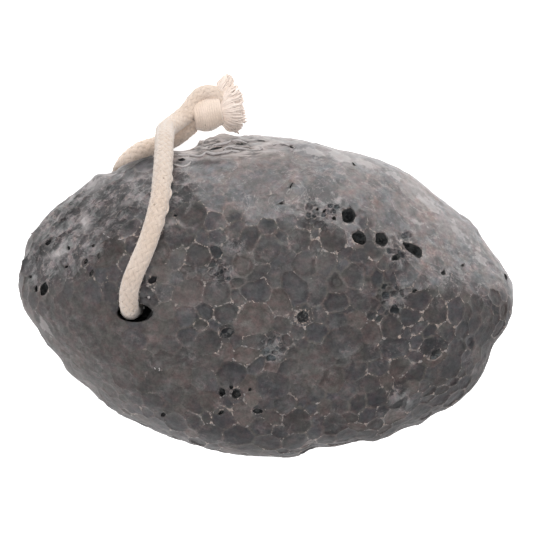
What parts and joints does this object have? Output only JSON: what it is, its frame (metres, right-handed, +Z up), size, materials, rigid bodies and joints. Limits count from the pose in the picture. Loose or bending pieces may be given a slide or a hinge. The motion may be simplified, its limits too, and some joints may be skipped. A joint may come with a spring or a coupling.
{
  "type": "pumice foot stone",
  "caption": "Dark vesicular pumice stone for smoothing skin, with a knotted cotton cord through a drilled hole to hang it by.",
  "frame": {"origin": "centre of the stone's box at the flat face that it rests on, without the cord", "axes": "+X along the stone's length, away from the hole, +Y across it towards the cord's knot, +Z up through its thickness"},
  "size_m": [0.1002, 0.077, 0.0442],
  "materials": {
    "pumice": "dark grey vesicular lava, pits with dull floors and pale thin walls, under a clear glossy skin",
    "cotton": "undyed cream cotton, braided, soft and matt"
  },
  "bodies": {
    "root": {"stone": "pumice", "cord_front": "cotton", "cord_back": "cotton", "cord_knot": "cotton"}
  },
  "joints": []
}
